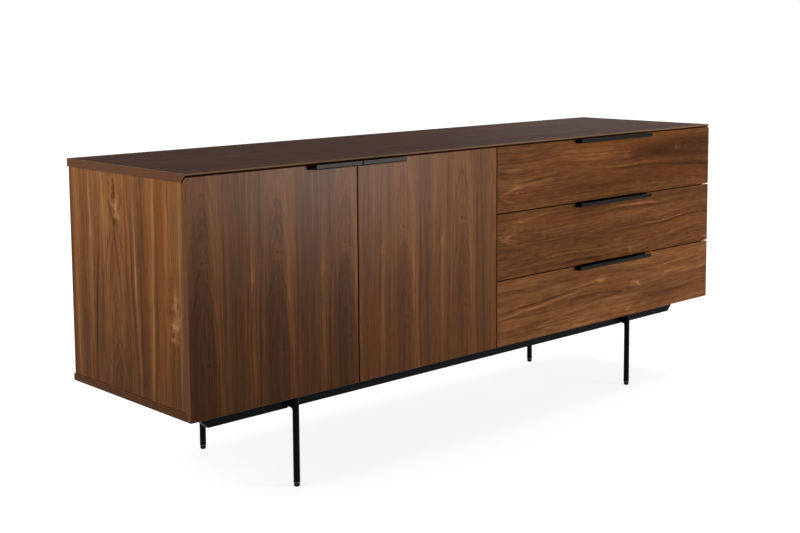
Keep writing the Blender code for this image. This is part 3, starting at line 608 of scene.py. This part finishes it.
DRAWER_FIGURES = {
    "upper": dict(
        seed=45.1, middle=0.48, tone=0.43,
        marks=(
            (0.72, 0.65, 0.2, 0.05, 0.0, -0.25), (0.1, 0.63, 0.16, 0.06, 0.0, 0.12),
            (0.68, 0.618, 0.25, 0.0028, -0.03, -0.5), (0.54, 0.6285, 0.2, 0.003, 0.0, 0.16),
            (0.4, 0.672, 0.12, 0.02, -0.05, 0.14), (0.635, 0.658, 0.09, 0.013, 0.0, -0.15),
            (0.17, 0.624, 0.1, 0.004, 0.03, -0.2), (0.45, 0.583, 0.14, 0.006, 0.0, -0.18),
            (0.055, 0.606, 0.03, 0.004, 0.35, 0.22), (0.524, 0.668, 0.016, 0.006, 0.9, 0.18),
            (0.742, 0.664, 0.01, 0.005, -0.8, 0.16), (0.072, 0.597, 0.012, 0.005, 0.5, 0.12),
        ),
        knots=(
            (0.522, 0.665, 0.014, 0.012, 0.0, 1.3), (0.747, 0.661, 0.01, 0.008, 0.5, 1.0),
            (0.081, 0.596, 0.012, 0.01, 0.2, 0.9),
        ),
        arches=(
            (0.235, 0.672, -1, 0.02, 0.08, 0.0036, 0.26, 0.12, 0.09),
            (0.01, 0.59, -1, 0.03, 0.06, 0.004, 0.1, 0.14, 0.0),
        ),
    ),
    "middle": dict(
        seed=47.9, middle=0.3, tone=0.46,
        marks=(
            (0.045, 0.5, 0.03, 0.0045, 0.6, 0.16), (0.13, 0.534, 0.07, 0.004, 0.08, 0.18),
            (0.177, 0.483, 0.004, 0.028, 0.0, 0.09), (0.57, 0.523, 0.13, 0.0032, -0.03, 0.22),
            (0.33, 0.399, 0.09, 0.004, 0.04, -0.34), (0.42, 0.405, 0.12, 0.0022, 0.05, 0.22),
            (0.72, 0.462, 0.16, 0.0018, 0.0, -0.3), (0.69, 0.468, 0.2, 0.003, 0.0, 0.2),
            (0.36, 0.535, 0.08, 0.004, 0.0, -0.18), (0.534, 0.402, 0.008, 0.006, 0.6, 0.12),
        ),
        arches=(
            (0.008, 0.496, -1, 0.046, 0.08, 0.004, 0.15, 0.14, 0.0),
            (0.034, 0.492, -1, 0.026, 0.06, 0.003, 0.12, 0.1, -0.05),
            (0.34, 0.396, -1, 0.016, 0.12, 0.0026, 0.25, -0.14, 0.0),
        ),
        knots=(
            (0.084, 0.52, 0.012, 0.01, 0.3, 0.8), (0.534, 0.404, 0.01, 0.008, 0.0, 1.0),
            (0.082, 0.457, 0.006, 0.003, 0.6, 0.0),
        ),
    ),
    "lower": dict(
        seed=51.4, middle=0.15, tone=0.56,
        marks=(
            (0.14, 0.303, 0.15, 0.003, 0.08, 0.3), (0.18, 0.315, 0.13, 0.0022, 0.07, -0.34),
            (0.34, 0.331, 0.06, 0.003, 0.1, 0.2), (0.8, 0.31, 0.11, 0.0055, -0.03, 0.18),
            (0.65, 0.268, 0.09, 0.018, -0.05, -0.14), (0.6, 0.345, 0.14, 0.004, 0.0, -0.14),
            (0.412, 0.333, 0.018, 0.0035, 0.2, 0.11), (0.538, 0.308, 0.014, 0.004, 0.7, 0.11),
            (0.572, 0.302, 0.016, 0.0032, -0.6, 0.11), (0.527, 0.24, 0.016, 0.004, 0.4, 0.12),
        ),
        arches=(
            (0.15, 0.248, -1, 0.03, 0.14, 0.003, 0.3, 0.16, 0.1),
            (0.5, 0.29, 1, 0.018, 0.16, 0.002, 0.3, -0.18, 0.0),
        ),
        knots=(
            (0.41, 0.3345, 0.01, 0.008, 0.3, 1.1), (0.562, 0.304, 0.012, 0.01, 0.3, 1.1),
            (0.527, 0.238, 0.008, 0.005, 0.0, 1.0), (0.88, 0.2545, 0.008, 0.004, 0.4, 0.6),
        ),
    ),
}
HIDDEN_SEED, HIDDEN_STEP = 60.0, 2.3  # figure of the boards inside, from one to the next


def dress_boards():
    # The top's dark wash is painted shade over the whole top
    veneer(
        "top_walnut", "top_panel", X, Z, 4.2, contrast=0.65, tone=0.42, middle=-0.60, wander=0.04,
        wash=("#23120f", 0.78), edge="#87694f", edge_share=0.8, end="#90664c", gloss_loss=0.37,
    )
    veneer("bottom_walnut", "bottom_panel", X, Z, 9.6, contrast=0.6, tone=0.31, middle=-0.5, end="#54331e")
    # The sides' tone drops towards the bottom as painted shade
    for hand, seed in (("left", 17.3), ("right", 21.8)):
        veneer(
            hand + "_side_walnut", hand + "_side_panel", Z, X, seed, contrast=0.42, tone=0.285, painted_shade_slope=0.57,
            middle=0.056, heart=(0.20, 0.10), rings=0.09, streaks=0.80, marks=SIDE_MARKS, knots=SIDE_KNOTS,
            arches=SIDE_ARCHES, eyes=SIDE_EYES,
        )
    # The doors' edges facing the gap between them take a dark tint as painted shade
    for hand, board in DOOR_NODES.items():
        veneer(
            hand + "_door_walnut", board, Z, Y, contrast=0.32, heart=(0.36, 0.13), wander=0.012, rings=0.11,
            specular=0.06, gloss_loss=-0.07, marks=LEAF_MARKS, knots=LEAF_KNOTS, arches=LEAF_ARCHES,
            joints=DOOR_EDGE_JOINTS, edge="#6a4226", gap_shade_edge=(X, -0.6, "#21150d"), **DOOR_LOOKS[hand]
        )
    # The drawer fronts' top and bottom edges take a dark tint as painted shade in the gaps between them
    for name, figure in DRAWER_FIGURES.items():
        veneer(
            name + "_drawer_walnut", name + "_drawer_front", X, Y, contrast=0.60, wander=0.05, streaks=0.55,
            gap_shade_edge=(Z, 0.0, "#2c1c12"), **figure
        )
    hidden = [("centre_divider", Z, X), ("back_panel", X, Y), ("shelf", X, Z)]
    hidden += [(name + "_drawer_" + part, X, Z) for part in ("bottom", "box") for name in DRAWER_NAMES]
    for count, (board, grain, face) in enumerate(hidden):
        seed = HIDDEN_SEED + HIDDEN_STEP * count
        veneer(board + "_walnut", board, grain, face, seed, contrast=0.55, tone=0.44, middle=-0.7)


# Steel, zinc, plastic and rubber. A relief is the depth and strength of a bump.
BRUSHED = (14.0, 900.0, 900.0)  # cycles per metre along each axis
BRUSHED_PATCHES = (0.3, 0.75)  # values of the noise between which the lighter tone fades in
BRUSHED_ROUGHNESS = (0.26, 0.2)  # least, and what the noise adds
BRUSHED_RELIEF = (0.00005, 0.3)
PEEL = (1400.0, 2.0)  # cycles per metre, and detail
PEEL_PATCHES = (0.55, 0.8)
PEEL_RELIEF = (0.00006, 0.4)
DRAWN = (2600.0, 60.0, 2600.0)
DRAWN_RELIEF = (0.00003, 0.3)
WELD_RELIEF = (0.0003, 0.6)
RING_LOW, RING_HIGH = 0.0089, 0.0103  # heights of the pale ring of a glide


def grained(name, scale, detail, dark, light, rough, swing, specular=0.5, relief=None):
    """Material whose colour and roughness follow one noise of scale cycles per metre.

    rough is its least roughness, and swing what the noise adds.
    """
    mat, w, shader = new_material(name)
    place = w.add("TexCoord").outputs["Object"]
    grain = w.even_noise(place, scale, detail)
    colour = w.blend(grain, dark, light)
    w.fill_all(shader, {
        "Base Color": colour, "Roughness": w.line(grain, swing, rough), "Specular IOR Level": specular,
    })
    if relief:
        w.fill(shader.inputs["Normal"], w.bump(grain, *relief))
    return mat, w, shader, place, colour


def pull_finish(name, dark, light, specular):
    """Black sheet of the pulls, brushed along its length before it was coated."""
    mat, w, shader = new_material(name)
    brushed = w.noise(w.vector("MULTIPLY", w.add("TexCoord").outputs["Object"], BRUSHED), detail=3.0)
    least, swing = BRUSHED_ROUGHNESS
    w.fill_all(shader, {
        "Base Color": w.blend(w.ease(brushed, *BRUSHED_PATCHES), dark, light),
        "Roughness": w.line(brushed, swing, least), "Specular IOR Level": specular,
        "Normal": w.bump(brushed, *BRUSHED_RELIEF),
    })
    return mat


def powder_coat():
    """Black powder coat: a fine orange-peel skin with a slight change of gloss."""
    mat, w, shader, place, black = grained(
        "black_powder_coat", scale=9.0, detail=2.0, dark="#070707", light="#0c0c0c", rough=0.40, swing=0.12,
        specular=0.035,
    )
    peel = w.even_noise(place, *PEEL)
    w.fill_all(shader, {
        "Base Color": w.blend(w.ease(peel, *PEEL_PATCHES), black, "#171718"),
        "Normal": w.bump(peel, *PEEL_RELIEF),
    })
    return mat


def zinc_plate():
    """Zinc-plated sheet: bright, faintly mottled, with drawing lines."""
    mat, w, shader, place, _ = grained(
        "zinc_plated_steel", scale=160.0, detail=3.0, dark="#b4b5b7", light="#d6d7d9", rough=0.22, swing=0.16,
    )
    lines = w.noise(w.vector("MULTIPLY", place, DRAWN), detail=1.0)
    w.fill_all(shader, {"Metallic": 0.75, "Normal": w.bump(lines, *DRAWN_RELIEF)})
    return mat


def glide_plastic():
    """Black moulded glide with a pale metal ring between it and the rod."""
    mat, w, shader, place, black = grained(
        "black_plastic", scale=900.0, detail=2.0, dark="#090909", light="#121212", rough=0.42, swing=0.15,
        specular=0.08,
    )
    height = w.split(place)[Z]
    ring = w.times(w.above(height, RING_LOW), w.below(height, RING_HIGH))
    w.fill_all(shader, {"Base Color": w.blend(ring, black, "#6a5c42"), "Metallic": ring})
    return mat


# The slot and the material of each finish
COAT_SLOT, ZINC_SLOT, PLASTIC_SLOT = "black_powder_coat", "zinc_plated_steel", "black_plastic"
FINISHES = {
    "coat": (COAT_SLOT, powder_coat()),
    # The pulls are one finish in two copies: the door pulls' lighter, glossier copy is a painted sheen
    "door_pull": (COAT_SLOT, pull_finish("brushed_door_pull", "#151210", "#26211f", 0.09)),
    "drawer_pull": (COAT_SLOT, pull_finish("brushed_drawer_pull", "#0f0b09", "#1f1a16", 0.045)),
    "weld": (COAT_SLOT, grained(
        "coated_weld", scale=520.0, detail=3.0, dark="#0a0a0a", light="#161616", rough=0.42, swing=0.15,
        specular=0.07, relief=WELD_RELIEF,
    )[0]),
    "zinc": (ZINC_SLOT, zinc_plate()),
    "plastic": (PLASTIC_SLOT, glide_plastic()),
    "rubber": (PLASTIC_SLOT, grained(
        "bumper_rubber", scale=1500.0, detail=2.0, dark="#4c4a47", light="#5d5a56", rough=0.6, swing=0.2,
    )[0]),
}
SLOT_FINISH = {COAT_SLOT: "coat", ZINC_SLOT: "zinc", PLASTIC_SLOT: "plastic"}


def dress_metal():
    for row in frame["record"]["subparts"]:
        finish = SLOT_FINISH.get(row["material_slot"])
        if row["node"].endswith("_pull"):
            finish = "door_pull" if "_door_" in row["node"] else "drawer_pull"
        if finish:
            assign(row["node"], FINISHES[finish][1])


# Small fasteners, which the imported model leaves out: radius and height of each head
CUP_SCREW = (0.0034, 0.0005)
PLATE_SCREW = (0.0036, 0.0013)
SETTING_SCREW = (0.0030, 0.0006)
PULL_SCREW = (0.0024, 0.0004)
RUNNER_SCREW = (0.0034, 0.0012)
FRONT_SCREW = (0.0042, 0.0014)
RAIL_SCREW = (0.0055, 0.0010)
BUMPER = (0.0040, 0.0014)

# Shape of a head
TIP_ANGLE = 18.0  # degrees, from the middle of an arm of the recess to a corner of its tip
FLANK_ANGLE = 30.0  # and to a point on its flank
HEAD_ANGLES = (-45.0, -FLANK_ANGLE, -TIP_ANGLE, TIP_ANGLE, FLANK_ANGLE)
HEAD_PROFILE = ((1.0, 0.0), (1.0, 0.3), (0.93, 0.65), (0.80, 0.88), (0.66, 1.0))  # over radius and height
HEAD_LIFT = 0.00002  # a head's base stands this far off the face
RECESS_ARM = 0.58  # over the head's radius
RECESS_FLOOR = (0.8, 0.25)  # outline over the rim's, and level over the head's height

# Places of the fasteners, and what they stand on
CUP_SCREW_REACH = 0.0245  # from the middle of the cup, up and down
PLATE_SCREW_REACH = 0.0185  # the same
CUP_SCREW_SHIFT = 0.004  # from there away from the hinged edge
HINGE_PLATE = 0.0025  # thickness of the plate on the wall
ARM_END_TO_WINGS = 0.028  # from the arm's rear end to the middle of the plate's wings
SETTING_SCREWS = (0.010, 0.044)  # from the arm's rear end
PULL_SHEET = 0.002
PULL_SCREW_INSET = 0.0045  # from the rear edge of the pull
RUNNER_SHEET = 0.0012
BOX_WALL = 0.012
DRAWER_RUNNER_SCREWS = (0.08, 0.42, 0.80)  # parts of the runner's length from its front end
CABINET_RUNNER_SCREWS = (0.10, 0.86)
FRONT_SCREWS = (0.08, 0.36, 0.64, 0.92)  # parts of the drawer box's width
BACK_SCREWS = (0.12, 0.50, 0.88)  # parts of the back panel's height
RAIL_SCREWS = (-0.86, -0.30, 0.30, 0.86)  # parts of the rail's half length
DOOR_BUMPER_INSET = 0.022  # from the free edge of the door
DRAWER_BUMPER = (0.0042, 0.018)  # from the left end and the lower edge of the drawer front

# Rods and their welds
ROD_SIDES = 40
ROD_BEND = 0.012  # radius of a bend, to the rod's axis
BEND_STEPS = 14
POST_SLACK = 0.0001  # the posts' radius is this much less than the rod's
WELD_SIZE = 0.0026
WELD_STEPS = 40
WELD_START, WELD_TURN = -20.0, 220.0  # degrees round the rod
WELD_BITE = 0.0003  # how far the bead reaches into the rod
WELD_LIFT = 0.00002  # how far its foot stands off the rail
WELD_BULGE = (0.42, 0.62)  # its middle point, outwards and along the rod, over its size
WELD_RIPPLE = (0.10, 2.4)  # share of its size, and radians from one step to the next
WELD_TAPER = 0.25  # power by which it thins out towards its ends
WELD_END = 0.05  # and its size at the very ends, over its full size


def skin(bm, rings):
    """Closed surface through rings of points."""
    rows = [[bm.verts.new(point) for point in ring] for ring in rings]
    for low, high in zip(rows, rows[1:]):
        for i in range(len(low)):
            j = (i + 1) % len(low)
            bm.faces.new((low[i], low[j], high[j], high[i]))
    bm.faces.new(list(reversed(rows[0])))
    bm.faces.new(rows[-1])


def ring_points(radii, level):
    """One ring of a head: a radius for each of HEAD_ANGLES, repeated for the four arms."""
    turns = [math.radians(angle + 90.0 * quarter) for quarter in range(4) for angle in HEAD_ANGLES]
    return [
        Vector((radius * math.cos(turn), radius * math.sin(turn), level)) for radius, turn in zip(radii * 4, turns)
    ]


def round_head(radius, height):
    rings = [([radius * part] * len(HEAD_ANGLES), HEAD_LIFT + height * level) for part, level in HEAD_PROFILE]
    return [ring_points(*ring) for ring in rings]


def cross_head(radius, height):
    """A low domed screw head with a cross recess."""
    arm = radius * RECESS_ARM
    half = arm * math.tan(math.radians(TIP_ANGLE))
    corner, flank, tip = half * math.sqrt(2.0), half / math.sin(math.radians(FLANK_ANGLE)), math.hypot(arm, half)
    rim = [corner, flank, tip, tip, flank]
    share, level = RECESS_FLOOR
    floor = [value * share for value in rim]
    return round_head(radius, height) + [
        ring_points(rim, HEAD_LIFT + height), ring_points(floor, HEAD_LIFT + height * level),
    ]


def add_piece(name, body, finish, bm, sharp_degrees=32.0):
    slot, mat = FINISHES[finish]
    bmesh.ops.recalc_face_normals(bm, faces=bm.faces)
    piece = add_mesh(name, bm, mat)
    piece.data.shade_smooth()
    piece.data.set_sharp_from_angle(angle=math.radians(sharp_degrees))
    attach(piece, body)
    return piece


def fittings(name, body, finish, size, places, facing, head=cross_head):
    """One piece of equal small parts, such as screw heads, all facing one way."""
    bm = bmesh.new()
    turn = Vector(facing).to_track_quat("Z", "Y").to_matrix()
    for place in places:
        skin(bm, [[Vector(place) + turn @ point for point in ring] for ring in head(*size)])
    add_piece(name, body, finish, bm)


def centre_of(node):
    low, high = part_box(node)
    return (low + high) / 2


def spread(low, high, parts):
    """Values that stand the given parts of the way from low to high."""
    return [low + (high - low) * part for part in parts]


def hinge_screws():
    """Cup screws in the doors, and plate and setting screws on the cabinet's side of each hinge."""
    for hand, inward in (("left", 1), ("right", -1)):
        cups, plates, settings = [], [], []
        wall_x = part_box("left_side_panel")[1].x if hand == "left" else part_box("centre_divider")[0].x
        plate_x = wall_x + inward * HINGE_PLATE
        for level in ("lower", "upper"):
            cup, arm = ("%s_door_%s_hinge_%s" % (hand, level, part) for part in ("cup", "arm"))
            centre, face_y, arm_end = centre_of(cup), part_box(cup)[1].y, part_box(arm)[1].y
            arm_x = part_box(arm)[1 if hand == "left" else 0].x
            cup_x, wings_y = centre.x + inward * CUP_SCREW_SHIFT, arm_end - ARM_END_TO_WINGS
            cups += [(cup_x, face_y, centre.z + way * CUP_SCREW_REACH) for way in (-1, 1)]
            plates += [(plate_x, wings_y, centre.z + way * PLATE_SCREW_REACH) for way in (-1, 1)]
            settings += [(arm_x, arm_end - back, centre.z) for back in SETTING_SCREWS]
        away = (inward, 0, 0)
        fittings(hand + "_door_cup_screws", hand + "_door", "zinc", CUP_SCREW, cups, (0, 1, 0))
        fittings(hand + "_hinge_plate_screws", "cabinet", "zinc", PLATE_SCREW, plates, away)
        fittings(hand + "_hinge_setting_screws", "cabinet", "zinc", SETTING_SCREW, settings, away)


def pull_screws():
    for body, count in (("left_door", 2), ("right_door", 2), *((name + "_drawer", 3) for name in DRAWER_NAMES)):
        low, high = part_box(body + "_pull")
        step = (high.x - low.x) / (count * 2)
        y, level = high.y - PULL_SCREW_INSET, low.z + PULL_SHEET
        places = [(low.x + step * (2 * i + 1), y, level) for i in range(count)]
        finish = "door_pull" if body.endswith("_door") else "drawer_pull"
        fittings(body + "_pull_screws", body, finish, PULL_SCREW, places, (0, 0, 1))


def drawer_screws():
    """Screws of the runners and the drawer fronts."""
    for name in DRAWER_NAMES:
        body = name + "_drawer"
        for hand, outward in (("left", -1), ("right", 1)):
            low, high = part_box("%s_%s_drawer_runner" % (name, hand))
            web, level = (high.x if hand == "left" else low.x) + outward * RUNNER_SHEET, (low.z + high.z) / 2
            places = [(web, y, level) for y in spread(low.y, high.y, DRAWER_RUNNER_SCREWS)]
            fittings("%s_%s_runner_screws" % (body, hand), body, "zinc", RUNNER_SCREW, places, (outward, 0, 0))
            runner = "%s_%s_cabinet_runner" % (name, hand)
            low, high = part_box(runner)
            web = (low.x if hand == "left" else high.x) - outward * RUNNER_SHEET
            places = [(web, y, level) for y in spread(low.y, high.y, CABINET_RUNNER_SCREWS)]
            fittings(runner + "_screws", "cabinet", "zinc", RUNNER_SCREW, places, (-outward, 0, 0))
        low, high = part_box(body + "_box")
        level = (low.z + high.z) / 2
        places = [(x, low.y + BOX_WALL, level) for x in spread(low.x, high.x, FRONT_SCREWS)]
        fittings(body + "_front_screws", body, "zinc", FRONT_SCREW, places, (0, 1, 0))


def bumpers():
    """Rubber dots that the fronts close against, stuck to their inner faces."""
    fronts = []
    for hand, inward in (("left", -1), ("right", 1)):
        low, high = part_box(DOOR_NODES[hand])
        x = (high.x if hand == "left" else low.x) + inward * DOOR_BUMPER_INSET
        fronts.append((hand + "_door_bumper", hand + "_door", [(x, high.y, centre_of("bottom_panel").z)]))
    inset, rise = DRAWER_BUMPER
    for name in DRAWER_NAMES:
        low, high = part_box(name + "_drawer_front")
        places = [(x, high.y, low.z + rise) for x in (low.x + inset, centre_of("right_side_panel").x)]
        fronts.append((name + "_drawer_bumpers", name + "_drawer", places))
    for name, body, places in fronts:
        fittings(name, body, "rubber", BUMPER, places, (0, 1, 0), round_head)


def back_screws():
    """Screws through the back panel into the rear edge of the divider."""
    low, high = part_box("back_panel")
    x = centre_of("centre_divider").x
    places = [(x, high.y, z) for z in spread(low.z, high.z, BACK_SCREWS)]
    fittings("back_panel_screws", "cabinet", "zinc", FRONT_SCREW, places, (0, 1, 0))


def rod_rings(path, radius):
    """Rings of a round bar through points of (place, direction) in a plane across X."""
    turns = [math.radians(360.0 / ROD_SIDES * step) for step in range(ROD_SIDES)]
    across = Vector((1.0, 0.0, 0.0))
    rings = []
    for point, ahead in path:
        up = across.cross(ahead)
        rings.append([point + across * radius * math.cos(turn) + up * radius * math.sin(turn) for turn in turns])
    return rings


def leg_loops():
    """Bent rods with a short post on each corner, which carries the bottom panel."""
    for side in ("left", "right"):
        node = side + "_leg_loop"
        low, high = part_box(node)
        x, radius = (low.x + high.x) / 2, (high.x - low.x) / 2
        run_z = high.z - radius
        front_y, rear_y = low.y + radius, high.y - radius
        path = [(Vector((x, front_y, low.z)), UP)]
        for centre_y, way in ((front_y + ROD_BEND, -1), (rear_y - ROD_BEND, 1)):
            for step in range(BEND_STEPS + 1):
                turn = math.pi / 2 * (step / BEND_STEPS if way < 0 else 1.0 - step / BEND_STEPS)
                rise, reach = math.sin(turn), math.cos(turn)
                point = Vector((x, centre_y + way * ROD_BEND * reach, run_z - ROD_BEND + ROD_BEND * rise))
                path.append((point, Vector((0.0, rise, -way * reach))))
        path.append((Vector((x, rear_y, low.z)), -UP))
        bm = bmesh.new()
        skin(bm, rod_rings(path, radius))
        for y in (front_y, rear_y):
            ends = (run_z - ROD_BEND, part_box("bottom_panel")[0].z)
            post = [(Vector((x, y, z)), UP) for z in ends]
            skin(bm, rod_rings(post, radius - POST_SLACK))
        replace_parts(add_piece(side + "_leg_rod", "cabinet", "coat", bm, sharp_degrees=40.0), node)


def weld_rings(centre, radius, way):
    """A fillet bead round the rod on the rail's face, thinning out towards the rod's lower side."""
    along = Vector((0.0, way, 0.0))
    bulge_out, bulge_along = WELD_BULGE
    share, pace = WELD_RIPPLE
    rings = []
    for step in range(WELD_STEPS + 1):
        turn = math.radians(WELD_START + WELD_TURN * step / WELD_STEPS)
        inner = 0 < step < WELD_STEPS
        swell = math.sin(math.pi * step / WELD_STEPS) ** WELD_TAPER if inner else WELD_END
        size = WELD_SIZE * swell * (1.0 + share * math.sin(step * pace))
        out = Vector((math.cos(turn), 0.0, math.sin(turn)))
        root = centre + out * (radius - WELD_BITE)
        rings.append([
            root, root + along * size,
            centre + out * (radius + size * bulge_out) + along * size * bulge_along,
            centre + out * (radius + size) + along * WELD_LIFT,
        ])
    return rings


def rail_fixings():
    """Flat screws up through the rails, and the welds where the rods pass through them."""
    rails = [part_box("front_rail"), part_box("rear_rail")]
    places = [(high.x * part, (low.y + high.y) / 2, low.z) for low, high in rails for part in RAIL_SCREWS]
    fittings("rail_screws", "cabinet", "coat", RAIL_SCREW, places, (0, 0, -1))
    bm = bmesh.new()
    for loop in ("left_leg_loop", "right_leg_loop"):
        low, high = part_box(loop)
        radius = (high.x - low.x) / 2
        for rail_low, rail_high in rails:
            for y, way in ((rail_low.y, -1), (rail_high.y, 1)):
                skin(bm, weld_rings(Vector((centre_of(loop).x, y, high.z - radius)), radius, way))
    add_piece("rail_welds", "cabinet", "weld", bm, sharp_degrees=70.0)


def build_camera():
    azimuth, elevation, roll = (math.radians(a) for a in (CAMERA_AZIMUTH, CAMERA_ELEVATION, CAMERA_ROLL))
    back = Vector((
        math.sin(azimuth) * math.cos(elevation), -math.cos(azimuth) * math.cos(elevation), math.sin(elevation),
    ))
    right = UP.cross(back).normalized()
    up = back.cross(right)
    turn = Matrix((right, up, back)).transposed() @ Matrix.Rotation(roll, 3, "Z")
    data = bpy.data.cameras.new("camera")
    data.sensor_width = SENSOR_WIDTH
    data.lens = FOCAL_PIXELS / IMAGE_WIDTH * SENSOR_WIDTH
    data.shift_y = (AXIS_ROW - IMAGE_HEIGHT / 2) / IMAGE_WIDTH
    camera = add_object("camera", data)
    camera.matrix_world = Matrix.Translation(CAMERA_PLACE) @ turn.to_4x4()
    bpy.context.scene.camera = camera


def build_lights():
    """Soft lamps that the camera doesn't see."""
    for name, place, aim, size, power, mirrored in LAMPS:
        data = bpy.data.lights.new(name, "AREA")
        data.shape = "RECTANGLE"
        data.size, data.size_y = size
        data.energy = power
        light = add_object(name, data)
        light.location = place
        light.rotation_euler = (Vector(aim) - Vector(place)).to_track_quat("-Z", "Y").to_euler()
        light.visible_glossy = mirrored
        light.visible_camera = False


def seen_directly(w):
    """1 for rays that show the backdrop: from the camera, in a reflection or through glass."""
    path = w.add("LightPath").outputs
    direct = w.math("MAXIMUM", path["Is Camera Ray"], path["Is Glossy Ray"])
    return w.math("MAXIMUM", direct, path["Is Transmission Ray"])


def build_stage():
    """White surroundings, and a floor that is white but keeps the shadow of the sideboard."""
    world = bpy.data.worlds.new("studio")
    world.use_nodes = True
    bpy.context.scene.world = world
    w = Wiring(world.node_tree)
    backdrop = world.node_tree.nodes["Background"]
    backdrop.inputs["Color"].default_value = WHITE
    w.fill(backdrop.inputs["Strength"], w.choose(seen_directly(w), WORLD_LIGHT, 1.0))

    mat, w, shader = new_material("white_floor")
    place = w.add("TexCoord").outputs["Object"]
    speckle = w.even_noise(place, *FLOOR_SPECKLE)
    dark, light = FLOOR_TONES
    away = w.ease(w.vector("LENGTH", place), *SHADOW_REACH, FLOOR_GLOW, 1.0)
    w.fill_all(shader, {
        "Base Color": w.blend(speckle, dark, light), "Roughness": FLOOR_ROUGHNESS,
        "Specular IOR Level": 0.0, "Emission Color": WHITE,
        "Emission Strength": w.choose(seen_directly(w), 0.0, away),
    })
    bm = bmesh.new()
    bmesh.ops.create_grid(bm, x_segments=2, y_segments=2, size=FLOOR_HALF)
    add_mesh("floor", bm, mat)


dress_boards()
dress_metal()
hinge_screws()
pull_screws()
drawer_screws()
bumpers()
back_screws()
leg_loops()
rail_fixings()
build_camera()
build_lights()
build_stage()
bpy.context.scene.view_settings.view_transform = "Standard"
